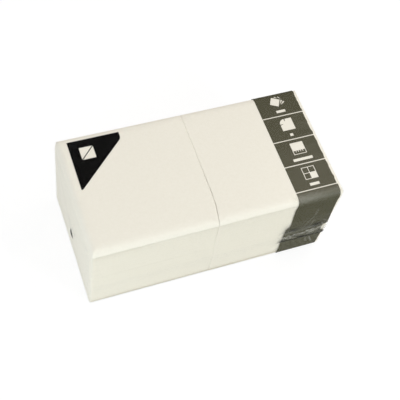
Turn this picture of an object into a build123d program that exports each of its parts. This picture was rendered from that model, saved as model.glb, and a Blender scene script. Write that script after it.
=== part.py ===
from build123d import *
import os
from math import sqrt

# A sealed retail pack of paper napkins, each folded into a quarter, in
# millimetres. The origin is on the table under the middle of the pack. +X runs
# along the row of two stacks, -Y is the front with the lap seam, and +Z is up.

# Napkins: a soft sheet folded twice, stacked flat
napkins_per_stack = 100
napkin_length = 119.4
napkin_width = 121.0
napkin_thickness = 1.0
napkin_gap = 0.035
fold_nose = 0.3
parting_gap = 0.8

# The film pulls the borders of the outermost napkins in
bent_top_share = 0.12
bent_bottom_share = 0.08
border_share = 1.3

# Film: one clear web, closed by a lap seam and by an envelope fold at each end
film_layer = 0.25
stack_clearance = 0.5
end_slack = 0.5
top_edge_radius = 7.0
bottom_edge_radius = 4.0
flap_lap = 6.0
flap_tip_width = 6.0
seam_height = 27.0
seam_width = 13.5
seam_thickness = 0.3

# Print, flush in the film's outer face: a band round the pack and a corner field
ink_thickness = 0.1
band_width = 42.2
band_end_inset = 4.7
corner_length = 48.6
corner_width = 50.4
corner_end_inset = 10.7
corner_back_inset = 7.4
corner_shoulder = 7.0
corner_round = 6.0
corner_toe = 1.5

# Clear windows in the print: lines, and a simple sign over a bar in each cell
cell_count = 4
cell_line = 1.1
front_line_inset = 10.6
back_cell_inset = 0.9
sign_size = 13.2
sign_rise = 3.4
sign_line = 0.8
bar_height = 3.0
bar_drop = 8.7
bar_width_shares = (0.74, 1.5, 0.25, 0.72)
emblem_size = 13.0
emblem_end_inset = 15.5
emblem_back_inset = 14.5

# Shares of a sign's side, for the parts of its picture
fan_sheet_share = 0.66
fan_sheets = 3
fan_turn = 17
turned_corner_share = 0.42
ruler_share = 0.26
tick_share = 0.13
tick_count = 4

# Sizes worked out from the ones above
pitch = napkin_thickness + napkin_gap
stack_height = napkins_per_stack * pitch - napkin_gap
bent_top_count = round(bent_top_share * napkins_per_stack)
bent_bottom_count = round(bent_bottom_share * napkins_per_stack)
flat_count = napkins_per_stack - bent_top_count - bent_bottom_count
end_layers = 3
cavity_length = 2 * napkin_length + parting_gap + 2 * stack_clearance + end_slack
cavity_width = napkin_width + 2 * stack_clearance
cavity_height = stack_height + 2 * stack_clearance
pack_length = cavity_length + 2 * end_layers * film_layer
pack_width = cavity_width + 2 * film_layer
pack_height = cavity_height + 2 * film_layer
side_edge_radius = film_layer + 2 * stack_clearance
print_reach = film_layer + top_edge_radius / 2
cell_pitch = (pack_width - front_line_inset - back_cell_inset) / cell_count


def rounded_block(length, width, inset):
    """A closed block with soft edges, set in from the pack's skin by inset."""
    with BuildPart() as block:
        with BuildSketch(Plane.XY.offset(inset)):
            RectangleRounded(length, width, side_edge_radius - inset)
        extrude(amount=pack_height - 2 * inset)
        fillet(block.faces().sort_by(Axis.Z)[-1].edges(), top_edge_radius - inset)
        fillet(block.faces().sort_by(Axis.Z)[0].edges(), bottom_edge_radius - inset)
    return block.part


def border_bend(edge_radius):
    """How far a napkin's border bends to clear the inside of a film edge.

    The inside edge is met at half the clearance, which keeps the corners clear.
    """
    radius = edge_radius - film_layer
    return radius - sqrt(radius**2 - (radius - stack_clearance / 2) ** 2)


def rim_of(height):
    """Height of a napkin's rim, for the height of its flat middle."""
    top_zone, bottom_zone = bent_top_count * pitch, bent_bottom_count * pitch
    top_part = max(0, height - stack_height + top_zone) / top_zone
    bottom_part = max(0, bottom_zone - height) / bottom_zone
    sink = border_bend(top_edge_radius) * top_part
    rise = border_bend(bottom_edge_radius) * bottom_part
    return height - sink + rise


def tapered_slab(start, end, inset, shift, reach, mode=Mode.ADD):
    """A slab between two heights, its far face inset all round or shifted to the folds.

    Reach says how far it runs past the napkin's left and right sides.
    """
    left_reach, right_reach = reach
    length = napkin_length - fold_nose + left_reach + right_reach
    width = napkin_width - fold_nose
    side = 1 if end > start else -1
    corner = (
        fold_nose - napkin_length / 2 - left_reach,
        (side * width - fold_nose) / 2,
        start,
    )
    with Locations(Location(corner, (side * 90, 0, 0))):
        Wedge(
            length,
            abs(end - start),
            width,
            inset - shift,
            inset - side * shift,
            length - inset - shift,
            width - inset - side * shift,
            align=None,
            mode=mode,
        )


def folded_napkin(index, edge_radius, outer):
    """One folded napkin, by its place in the stack and the outer side of the stack.

    Its two folds, at the left and the back, stand out as a blunt nose. Its two
    open edges, at the right and the front, draw in between the pairs of leaves.
    A bent border slopes from the rim to the flat middle on both faces. It runs
    round three sides: the one that meets the other stack stays flat.
    """
    low = index * pitch
    high = low + napkin_thickness
    rim_low, rim_high = rim_of(low), rim_of(high)
    rim_middle = (rim_low + rim_high) / 2
    border = border_share * edge_radius
    faces = ((rim_high, high), (rim_low, low))
    crown, hollow = faces if high > rim_high else reversed(faces)
    bent = (rim_low, rim_high) != (low, high)
    reach = (border * (outer > 0), border * (outer < 0)) if bent else (0, 0)
    with BuildPart() as napkin:
        tapered_slab(rim_low, rim_middle, 0, fold_nose, reach)
        tapered_slab(rim_high, rim_middle, 0, fold_nose, reach)
        for (rim, middle), slope_mode in ((crown, Mode.ADD), (hollow, Mode.SUBTRACT)):
            if rim != middle:
                tapered_slab(rim, middle, border, 0, reach, slope_mode)
        if bent:
            inner_side = Plane.YZ.offset(-outer * napkin_length / 2)
            split(bisect_by=inner_side, keep=Keep.TOP if outer > 0 else Keep.BOTTOM)
    return napkin.part


def bent_napkins(outer):
    """The napkins at the bottom and the top of the stack that stands at the outer side."""
    first_top = napkins_per_stack - bent_top_count
    below = [folded_napkin(index, bottom_edge_radius, outer) for index in range(bent_bottom_count)]
    above = [
        folded_napkin(first_top + index, top_edge_radius, outer) for index in range(bent_top_count)
    ]
    return below + above


# The napkins of each stack: bent ones below and above, and flat ones between
flat_napkin = folded_napkin(bent_bottom_count, bottom_edge_radius, 0)
stack_floor = film_layer + stack_clearance
left_middle = -cavity_length / 2 + stack_clearance + napkin_length / 2
right_middle = left_middle + napkin_length + parting_gap

with BuildPart() as napkin_stack_left:
    with Locations((left_middle, 0, stack_floor)):
        add(bent_napkins(-1))
    with Locations(*[(left_middle, 0, stack_floor + step * pitch) for step in range(flat_count)]):
        add(flat_napkin)

with BuildPart() as napkin_stack_right:
    with Locations((right_middle, 0, stack_floor)):
        add(bent_napkins(1))
    with Locations(*[(right_middle, 0, stack_floor + step * pitch) for step in range(flat_count)]):
        add(flat_napkin)

# The print: a thin layer flush with the outside of the film
with BuildPart() as ink_layer:
    add(rounded_block(pack_length, pack_width, 0))
    add(
        rounded_block(pack_length - 2 * ink_thickness, pack_width - 2 * ink_thickness, ink_thickness),
        mode=Mode.SUBTRACT,
    )


def quarter_sign():
    """A sheet ruled in four with one quarter filled: the folded size."""
    opening = (sign_size - 3 * sign_line) / 2
    shift = (opening + sign_line) / 2
    with BuildSketch() as sign:
        Rectangle(sign_size, sign_size)
        with Locations((-shift, -shift), (-shift, shift), (shift, shift)):
            Rectangle(opening, opening, mode=Mode.SUBTRACT)
    return sign.sketch


def ruler_sign():
    """A sheet over a strip with measuring ticks: the open size."""
    strip = ruler_share * sign_size
    strip_length = sign_size - 2 * sign_line
    tick = tick_share * sign_size
    strip_top = sign_line - sign_size / 2 + strip
    with BuildSketch() as sign:
        Rectangle(sign_size, sign_size)
        with Locations((0, strip_top - strip / 2)):
            Rectangle(strip_length, strip, mode=Mode.SUBTRACT)
        with Locations((0, strip_top - tick / 2)):
            with GridLocations(strip_length / (tick_count + 1), 0, tick_count, 1):
                Rectangle(sign_line, tick)
    return sign.sketch


def layer_sign():
    """A sheet whose turned-up corner shows its layers."""
    turned = turned_corner_share * sign_size
    corner = sign_size / 2
    with BuildSketch() as sign:
        Rectangle(sign_size, sign_size)
        with Locations((-corner, corner)):
            Circle(turned + sign_line, mode=Mode.SUBTRACT)
        with BuildLine():
            Line((turned - corner, corner), (turned - corner, corner - turned))
            Line((turned - corner, corner - turned), (-corner, corner - turned))
            RadiusArc((-corner, corner - turned), (turned - corner, corner), turned)
        make_face()
    return sign.sketch


def fan_sign():
    """Sheets fanned about their lowest corner, with a line between two: the count."""
    sheet = fan_sheet_share * sign_size
    outline = sheet + 2 * sign_line
    with BuildSketch() as sign:
        for step in range(fan_sheets):
            turn = 45 + fan_turn * (step - (fan_sheets - 1) / 2)
            with Locations(Location((0, -sign_size / 2), turn)):
                with Locations((sheet / 2, sheet / 2)):
                    if step > 0:
                        Rectangle(outline, outline, mode=Mode.SUBTRACT)
                    Rectangle(sheet, sheet)
    return sign.sketch


band_middle = pack_length / 2 - band_end_inset - band_width / 2
front_line = -pack_width / 2 + front_line_inset
signs = [quarter_sign(), ruler_sign(), layer_sign(), fan_sign()]

with BuildPart() as printed_band:
    add(ink_layer.part)
    with BuildSketch(Plane.XY) as band_outline:
        with Locations((band_middle, 0)):
            Rectangle(band_width, pack_width)
    extrude(band_outline.sketch, amount=pack_height, mode=Mode.INTERSECT)
    with BuildSketch(Plane.XY.offset(pack_height)) as band_windows:
        for cell, (sign, bar_share) in enumerate(zip(signs, bar_width_shares)):
            line_place = front_line + cell * cell_pitch
            cell_middle = line_place + cell_pitch / 2
            with Locations((band_middle, line_place)):
                Rectangle(band_width + cell_line, cell_line)
            with Locations((band_middle, cell_middle + sign_rise)):
                add(sign)
            with Locations((band_middle, cell_middle - bar_drop)):
                Rectangle(bar_share * sign_size, bar_height)
    extrude(band_windows.sketch, amount=-print_reach, mode=Mode.SUBTRACT)

corner_left = -pack_length / 2 + corner_end_inset
corner_back = pack_width / 2 - corner_back_inset

with BuildPart() as printed_corner:
    add(ink_layer.part)
    with BuildSketch(Plane.XY.offset(pack_height)) as corner_outline:
        with BuildLine():
            Polyline(
                (corner_left, corner_back),
                (corner_left + corner_length, corner_back),
                (corner_left + corner_length, corner_back - corner_shoulder),
                (corner_left + corner_toe, corner_back - corner_width),
                (corner_left, corner_back - corner_width),
                close=True,
            )
        make_face()
        shoulder = corner_outline.vertices().sort_by(Axis.X)[-2:].sort_by(Axis.Y)[0]
        fillet(shoulder, corner_round)
        # A clear square with a fold line across it
        with Locations((corner_left + emblem_end_inset, corner_back - emblem_back_inset)):
            Rectangle(emblem_size, emblem_size, mode=Mode.SUBTRACT)
            Rectangle(emblem_size * sqrt(2), sign_line, rotation=45)
    extrude(corner_outline.sketch, amount=-print_reach, mode=Mode.INTERSECT)

# The film: a thin shell whose ends show how the web was folded shut
middle_height = pack_height / 2
tip_height = middle_height - flap_lap
meeting_share = middle_height / (middle_height + flap_lap)
tuck_tip = pack_width / 2 - meeting_share * (pack_width - flap_tip_width) / 2

with BuildPart() as film_wrap:
    add(rounded_block(pack_length, pack_width, 0))
    add(rounded_block(cavity_length, cavity_width, film_layer), mode=Mode.SUBTRACT)
    for end in (-1, 1):
        # The lower flap lies one layer under the upper one
        with BuildSketch(Plane.YZ.offset(end * pack_length / 2)) as lower_flap:
            with BuildLine():
                Polyline(
                    (-pack_width / 2, 0),
                    (pack_width / 2, 0),
                    (tuck_tip, middle_height),
                    (flap_tip_width / 2, tip_height),
                    (-flap_tip_width / 2, tip_height),
                    (-tuck_tip, middle_height),
                    close=True,
                )
            make_face()
        extrude(lower_flap.sketch, amount=-end * film_layer, mode=Mode.SUBTRACT)
        # The two side tucks lie one layer under both flaps
        with BuildSketch(Plane.YZ.offset(end * pack_length / 2)) as side_tucks:
            for side in (-1, 1):
                with BuildLine():
                    Polyline(
                        (side * pack_width / 2, 0),
                        (side * pack_width / 2, pack_height),
                        (side * tuck_tip, middle_height),
                        close=True,
                    )
                make_face()
        extrude(side_tucks.sketch, amount=-2 * end * film_layer, mode=Mode.SUBTRACT)
    # The lap seam runs along the front between the rounded side edges
    with BuildSketch(Plane.XZ.offset(pack_width / 2)) as lap_seam:
        with Locations((0, seam_height + seam_width / 2)):
            Rectangle(pack_length - 2 * side_edge_radius, seam_width)
    extrude(lap_seam.sketch, amount=seam_thickness)
    # The print lies flush in the film's outer face
    add([printed_band.part, printed_corner.part], mode=Mode.SUBTRACT)

napkin_stack_left.part.label = "napkin_stack_left"
napkin_stack_right.part.label = "napkin_stack_right"
film_wrap.part.label = "film_wrap"
printed_band.part.label = "printed_band"
printed_corner.part.label = "printed_corner"

os.makedirs("parts", exist_ok=True)
export_step(napkin_stack_left.part, "parts/napkin_stack_left.step")
export_step(napkin_stack_right.part, "parts/napkin_stack_right.step")
export_step(film_wrap.part, "parts/film_wrap.step")
export_step(printed_band.part, "parts/printed_band.step")
export_step(printed_corner.part, "parts/printed_corner.step")
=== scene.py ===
"""The looks of a sealed film pack of folded paper napkins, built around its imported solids.

Lengths are in millimetres until a mesh is written. The origin is on the table under the
middle of the pack, +X runs towards the banded end, -Y is the front and +Z is up.
"""

import logging
import math
from dataclasses import dataclass
from enum import Enum
from typing import Any

import bmesh
import bpy
import numpy as np
from mathutils import Matrix, Vector


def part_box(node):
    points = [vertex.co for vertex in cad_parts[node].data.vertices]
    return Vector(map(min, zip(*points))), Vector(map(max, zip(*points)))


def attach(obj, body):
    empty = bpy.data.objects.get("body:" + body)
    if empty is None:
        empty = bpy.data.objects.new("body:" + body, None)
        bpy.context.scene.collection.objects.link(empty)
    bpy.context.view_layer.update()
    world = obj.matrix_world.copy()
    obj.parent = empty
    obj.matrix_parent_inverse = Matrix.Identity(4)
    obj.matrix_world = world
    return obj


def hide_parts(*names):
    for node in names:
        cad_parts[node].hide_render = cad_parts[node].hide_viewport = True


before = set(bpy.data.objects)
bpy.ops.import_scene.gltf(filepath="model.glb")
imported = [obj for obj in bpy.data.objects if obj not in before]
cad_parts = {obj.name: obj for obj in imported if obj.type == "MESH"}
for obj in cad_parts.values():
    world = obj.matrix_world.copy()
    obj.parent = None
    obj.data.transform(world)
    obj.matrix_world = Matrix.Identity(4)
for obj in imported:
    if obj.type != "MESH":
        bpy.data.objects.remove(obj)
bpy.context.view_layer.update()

log = logging.getLogger("napkin_pack")
MM = 0.001
# The haze attribute holds real haze and painted highlights; the shade attribute holds second
# layers of print and painted shadows.
HAZE_AND_HIGHLIGHT = "haze"
SHADE = "shade"
Colour = tuple[float, float, float]
Socket = bpy.types.NodeSocket
WHITE = (1.0, 1.0, 1.0)


class End(Enum):
    """One of the two closed ends of the pack, with the side of X that it faces."""

    LEFT = -1
    RIGHT = 1


class Flap(Enum):
    """One of the two broad flaps of an envelope fold, with the way it reaches."""

    LOWER = 1
    UPPER = -1


def smooth_step(low: float, high: float, value: np.ndarray) -> np.ndarray:
    """Rises from 0 at low to 1 at high: the share's square times (3 less twice the share)."""
    share = np.clip((value - low) / (high - low), 0.0, 1.0)
    return share * share * (3.0 - 2.0 * share)


def bell(value: np.ndarray, middle: float | np.ndarray, reach: float) -> np.ndarray:
    """A bell curve: e to the minus square of the distance over the reach."""
    return np.exp(-(((value - middle) / reach) ** 2))


def grid(rows: int, columns: int | np.ndarray) -> tuple[np.ndarray, np.ndarray]:
    """Spreads shares down the rows of a sheet and values across its columns.

    Args:
        rows: how many rows there are; their shares go from 0 to 1.
        columns: the columns' values, or how many there are; they go from -1 to 1 then.

    Returns:
        The rows' shares and the columns' values at each point, of shape (rows, columns).
    """
    if isinstance(columns, int):
        columns = np.linspace(-1.0, 1.0, columns)
    across, down = np.meshgrid(columns, np.linspace(0.0, 1.0, rows))
    return down, across


@dataclass(frozen=True)
class Ripple:
    """Seeded waves on a surface, the sum of cosines with random lengths, turns and phases.

    The value at (a, b) is the mean of cos(2 pi (a cos t + b sin t) / w + p) over the waves,
    where t is a wave's turn, w its length and p its phase, times the root of their count.
    """

    seed: int
    shortest: float
    longest: float
    turn: float = 0.0
    spread: float = math.pi
    count: int = 14

    def at(self, along: np.ndarray, across: np.ndarray) -> np.ndarray:
        """Gives the waves' height, about -1 to 1, at each place.

        Args:
            along: the first coordinate on the surface.
            across: the second coordinate on the surface.

        Returns:
            An array of heights, shaped as the coordinates are.
        """
        draw = np.random.default_rng(self.seed)
        turns = self.turn + self.spread * draw.uniform(-0.5, 0.5, self.count)
        lengths = draw.uniform(self.shortest, self.longest, self.count)
        phases = draw.uniform(0.0, 2.0 * math.pi, self.count)
        places = along[..., None] * np.cos(turns) + across[..., None] * np.sin(turns)
        waves = np.cos(2.0 * math.pi * places / lengths + phases)
        return waves.mean(axis=-1) * math.sqrt(self.count) / 1.5


@dataclass
class MeshMaker:
    """Writes arrays of points as mesh objects, in metres, with their place in the mesh."""

    sharp_angle: float = math.radians(50.0)

    def solids(
        self, name: str, rings: np.ndarray, first: np.ndarray, last: np.ndarray
    ) -> bpy.types.Object:
        """Makes closed solids, each a row of closed rings capped by a point at both ends.

        Args:
            name: the object's name.
            rings: points of shape (solids, rings, points of a ring, 3).
            first: the point before the first ring, of shape (solids, 3).
            last: the point after the last ring, of shape (solids, 3).

        Returns:
            The object, with its faces turned outwards by the rings' order.
        """
        many, rows, around, _ = rings.shape
        points = np.concatenate([rings.reshape(-1, 3), first, last])
        index = np.arange(many * rows * around).reshape(many, rows, around)
        after = np.roll(index, -1, axis=2)
        walls = np.stack([index[:, :-1], after[:, :-1], after[:, 1:], index[:, 1:]], axis=-1)
        first_tip = many * rows * around + np.arange(many)[:, None] + np.zeros(around, int)
        last_tip = first_tip + many
        caps = np.concatenate(
            [
                np.stack([first_tip, after[:, 0], index[:, 0]], axis=-1).reshape(-1, 3),
                np.stack([last_tip, index[:, -1], after[:, -1]], axis=-1).reshape(-1, 3),
            ]
        )
        return self.write(name, points, walls.reshape(-1, 4), caps)

    def sheet(self, name: str, points: np.ndarray) -> bpy.types.Object:
        """Makes an open sheet from a grid of points.

        Args:
            name: the object's name.
            points: points of shape (rows, columns, 3); rows times columns face outwards.

        Returns:
            The sheet.
        """
        rows, columns, _ = points.shape
        index = np.arange(rows * columns).reshape(rows, columns)
        quads = np.stack([index[:-1, :-1], index[:-1, 1:], index[1:, 1:], index[1:, :-1]], axis=-1)
        return self.write(name, points.reshape(-1, 3), quads.reshape(-1, 4), np.zeros((0, 3), int))

    def paint(self, piece: bpy.types.Object, name: str, values: np.ndarray) -> None:
        """Stores a value from 0 to 1 at each point of a piece.

        Args:
            piece: the piece of film.
            name: the attribute's name.
            values: values in the order of the points; the points past them get 0.
        """
        layer = piece.data.attributes.new(name, "FLOAT", "POINT")
        stored = np.zeros(len(piece.data.vertices))
        stored[: values.size] = np.clip(values, 0.0, 1.0).ravel()
        layer.data.foreach_set("value", stored)

    def write(
        self, name: str, points: np.ndarray, quads: np.ndarray, triangles: np.ndarray
    ) -> bpy.types.Object:
        """Puts points and faces into a new mesh object of the scene.

        Args:
            name: the object's name.
            points: all points, in millimetres.
            quads: indices of the four-sided faces.
            triangles: indices of the three-sided faces.

        Returns:
            The object, smooth but for its sharp edges.
        """
        mesh = bpy.data.meshes.new(name)
        corners = np.concatenate([quads.ravel(), triangles.ravel()])
        sizes = np.concatenate([np.full(len(quads), 4), np.full(len(triangles), 3)])
        mesh.vertices.add(len(points))
        mesh.vertices.foreach_set("co", (points * MM).ravel())
        mesh.loops.add(len(corners))
        mesh.loops.foreach_set("vertex_index", corners)
        mesh.polygons.add(len(sizes))
        mesh.polygons.foreach_set("loop_start", np.concatenate([[0], np.cumsum(sizes)[:-1]]))
        mesh.update(calc_edges=True)
        mesh.validate()
        mesh.shade_smooth()
        mesh.set_sharp_from_angle(angle=self.sharp_angle)
        made = bpy.data.objects.new(name, mesh)
        bpy.context.collection.objects.link(made)
        log.info("%s: %d faces", name, len(sizes))
        return made


class NodeBoard:
    """The node tree of a material or of the world, with short calls to fill it."""

    def __init__(self, owner: bpy.types.Material | bpy.types.World) -> None:
        """Empties the owner's tree.

        Args:
            owner: the material or the world.
        """
        owner.use_nodes = True
        self.owner = owner
        self.tree = owner.node_tree
        self.tree.nodes.clear()

    def give(self, target: Socket, value: Any) -> None:
        """Joins a socket to an input, or sets the input to a plain value.

        Args:
            target: the input.
            value: the socket or the plain value.
        """
        if isinstance(value, Socket):
            self.tree.links.new(value, target)
        else:
            target.default_value = value

    def add(self, kind: str, **values: Any) -> bpy.types.Node:
        """Adds a node and sets its properties and inputs.

        Args:
            kind: the node's type, without its ShaderNode prefix.
            values: plain values or sockets by the input's name, or properties in lower case.

        Returns:
            The node.
        """
        node = self.tree.nodes.new("ShaderNode" + kind)
        for key, value in values.items():
            if key.islower():
                setattr(node, key, value)
            else:
                self.give(node.inputs[key.replace("_", " ")], value)
        return node

    def math(self, operation: str, *values: Any) -> Socket:
        """Works out an operation on numbers.

        Args:
            operation: the operation's name.
            values: plain values or sockets.

        Returns:
            The result.
        """
        node = self.add("Math", operation=operation)
        for target, value in zip(node.inputs, values):
            self.give(target, value)
        return node.outputs[0]

    def mix(self, share: Socket, first: bpy.types.Node, second: bpy.types.Node) -> bpy.types.Node:
        """Mixes two shaders.

        Args:
            share: the second shader's share.
            first: the shader that has the rest.
            second: the shader that has the share.

        Returns:
            The mixed shader.
        """
        node = self.add("MixShader", Fac=share)
        for target, shader in zip(node.inputs[1:], (first, second)):
            self.give(target, shader.outputs[0])
        return node

    def painted(self, name: str) -> Socket:
        """Gives the values that are painted on the piece under a name."""
        return self.add("Attribute", attribute_name=name).outputs["Fac"]

    def place(self) -> Socket:
        """Gives the piece's own coordinates, in metres."""
        return self.add("TexCoord").outputs["Object"]

    def noise(self, size: float, detail: float, roughness: float) -> Socket:
        """Adds noise with grain of a size in millimetres, and octaves of finer detail."""
        grain = {"Scale": 1.0 / (size * MM), "Detail": detail, "Roughness": roughness}
        return self.add("TexNoise", Vector=self.place(), **grain).outputs["Fac"]

    def bump(self, height: Socket, depth: float, below: Socket | None = None) -> Socket:
        """Adds a bump to the surface.

        Args:
            height: where it is high and low, from 0 to 1.
            depth: how high that is, in millimetres.
            below: the normal of another bump that it lies on.

        Returns:
            The bumped normal.
        """
        node = self.add("Bump", Height=height, Strength=1.0, Distance=depth * MM)
        if below is not None:
            self.give(node.inputs["Normal"], below)
        return node.outputs["Normal"]

    def blend(self, share: Socket, dark: Colour, light: Colour) -> Socket:
        """Mixes two colours.

        Args:
            share: the light colour's share.
            dark: the colour at share 0.
            light: the colour at share 1.

        Returns:
            The mixed colour.
        """
        node = self.add("Mix", data_type="RGBA")
        for name, value in (("A", (*dark, 1.0)), ("B", (*light, 1.0)), ("Factor", share)):
            self.give(node.inputs[name], value)
        return node.outputs["Result"]

    def matt(self, colour: Socket, normal: Socket, roughness: float, gloss: float) -> None:
        """Finishes a material that isn't seen through."""
        look = {"Roughness": roughness, "Specular_IOR_Level": gloss}
        self.finish(self.add("BsdfPrincipled", Base_Color=colour, Normal=normal, **look))

    def finish(self, surface: bpy.types.Node) -> None:
        """Sends a shader to the output."""
        kind = "OutputWorld" if isinstance(self.owner, bpy.types.World) else "OutputMaterial"
        self.add(kind, Surface=surface.outputs[0])


@dataclass(frozen=True)
class TissuePaper:
    """Soft ivory tissue: mottled a little, with fibres and a fine dotted emboss."""

    name: str = "ivory_tissue"
    thin: Colour = (0.845, 0.805, 0.710)
    full: Colour = (0.905, 0.868, 0.785)
    mottle_size: float = 2.4
    fibre_size: float = 0.35
    fibre_depth: float = 0.05
    dot_pitch: float = 1.1
    dot_depth: float = 0.03
    dot_scatter: float = 0.35
    roughness: float = 0.92
    gloss_level: float = 0.2

    def material(self) -> bpy.types.Material:
        """Builds the paper's material.

        Returns:
            The material.
        """
        board = NodeBoard(bpy.data.materials.new(self.name))
        mottle = board.noise(self.mottle_size, 4.0, 0.6)
        tone = board.blend(mottle, self.thin, self.full)
        fibres = board.bump(board.noise(self.fibre_size, 3.0, 0.6), self.fibre_depth)
        pattern = {"Scale": 1.0 / (self.dot_pitch * MM), "Randomness": self.dot_scatter}
        dots = board.add("TexVoronoi", Vector=board.place(), **pattern)
        emboss = board.bump(dots.outputs["Distance"], self.dot_depth, fibres)
        board.matt(tone, emboss, self.roughness, self.gloss_level)
        return board.owner


@dataclass(frozen=True)
class ClearFilm:
    """Thin clear film: see-through, with a gloss that grows towards grazing angles.

    The mirrored share rises from the least gloss to the most with (1 - cos a) to the fifth,
    where a is the angle of sight to the surface's normal, the same from both sides.
    A piece's haze attribute gives the light that its crumpled places scatter, in streaks,
    and paints highlights along its creases, its seam and the front's bent edge; its shade
    attribute gives the light that a second layer of print takes, and paints the shadow of
    a deep fold and the shadow along the seam's weld.
    """

    name: str = "clear_film"
    least_gloss: float = 0.008
    most_gloss: float = 0.10
    roughness: float = 0.20
    crinkle_size: float = 5.0
    crinkle_depth: float = 0.14
    most_haze: float = 0.45
    haze_and_highlight_colour: Colour = (0.85, 0.83, 0.74)
    streak_size: float = 1.8
    streak_range: tuple[float, float] = (0.35, 0.65)
    thin_streak: float = 0.45
    shaded: Colour = (0.16, 0.16, 0.17)
    edge_power: float = 5.0

    def material(self) -> bpy.types.Material:
        """Builds the film's material.

        Returns:
            The material.
        """
        board = NodeBoard(bpy.data.materials.new(self.name))
        passed = board.blend(board.painted(SHADE), WHITE, self.shaded)
        clear = board.add("BsdfTransparent", Color=passed)
        veil = board.add("BsdfDiffuse", Color=(*self.haze_and_highlight_colour, 1.0))
        low, high = self.streak_range
        streaks = board.add(
            "MapRange",
            Value=board.noise(self.streak_size, 2.0, 0.6),
            From_Min=low,
            From_Max=high,
            To_Min=self.thin_streak * self.most_haze,
            To_Max=self.most_haze,
        )
        # The veil's share: real haze, and painted highlights where the haze attribute marks them.
        haze_and_highlight_share = board.math("MULTIPLY", board.painted(HAZE_AND_HIGHLIGHT), streaks.outputs["Result"])
        crinkles = board.bump(board.noise(self.crinkle_size, 3.0, 0.5), self.crinkle_depth)
        gloss = board.add("BsdfGlossy", Roughness=self.roughness, Normal=crinkles)
        facing = board.add("LayerWeight", Blend=0.5).outputs["Facing"]
        edge = board.math("POWER", facing, self.edge_power)
        gain = self.most_gloss - self.least_gloss
        mirrored = board.math("MULTIPLY_ADD", edge, gain, self.least_gloss)
        board.finish(board.mix(mirrored, board.mix(haze_and_highlight_share, clear, veil), gloss))
        return board.owner


@dataclass(frozen=True)
class FilmInk:
    """Flat ink on film: an even tone with faint clouding from the print roller."""

    name: str
    dark: Colour
    light: Colour
    cloud_size: float = 14.0
    grain_size: float = 0.6
    grain_depth: float = 0.01
    roughness: float = 0.6
    gloss_level: float = 0.0

    def material(self) -> bpy.types.Material:
        """Builds the ink's material.

        Returns:
            The material.
        """
        board = NodeBoard(bpy.data.materials.new(self.name))
        tone = board.blend(board.noise(self.cloud_size, 3.0, 0.5), self.dark, self.light)
        grain = board.bump(board.noise(self.grain_size, 2.0, 0.5), self.grain_depth)
        board.matt(tone, grain, self.roughness, self.gloss_level)
        return board.owner


@dataclass(frozen=True)
class Crease:
    """A sharp ridge in the front film, between two places (x, z)."""

    start: tuple[float, float]
    end: tuple[float, float]
    height: float = 0.22
    reach: float = 0.8

    def height_at(self, x: np.ndarray, z: np.ndarray) -> np.ndarray:
        """The ridge's height: a bell of the distance to its line, fading at both ends.

        The fading is 0.35 plus 0.65 times the sine of the share of the line's length.

        Args:
            x: places along the pack.
            z: heights on the front.

        Returns:
            The ridge's height at each place.
        """
        run_x, run_z = self.end[0] - self.start[0], self.end[1] - self.start[1]
        square = run_x**2 + run_z**2
        from_x, from_z = x - self.start[0], z - self.start[1]
        share = np.clip((from_x * run_x + from_z * run_z) / square, 0.0, 1.0)
        away = np.hypot(from_x - share * run_x, from_z - share * run_z)
        return self.height * bell(away, 0.0, self.reach) * (0.35 + 0.65 * np.sin(math.pi * share))


@dataclass(frozen=True)
class Spot:
    """A soft oval mark on the front, round a place (x, z)."""

    x: float
    z: float
    reach_x: float
    reach_z: float
    strength: float = 1.0

    def at(self, x: np.ndarray, z: np.ndarray) -> np.ndarray:
        """The mark's strength: the product of a bell curve along x and one along z."""
        return self.strength * bell(x, self.x, self.reach_x) * bell(z, self.z, self.reach_z)


@dataclass(frozen=True)
class Streak:
    """A soft line along the seam, some way below a level that runs along it."""

    drop: float
    reach: float
    strength: float

    def at(self, z: np.ndarray, level: np.ndarray) -> np.ndarray:
        """The line's strength: a bell curve of the height over it."""
        return self.strength * bell(z, level - self.drop, self.reach)


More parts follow.
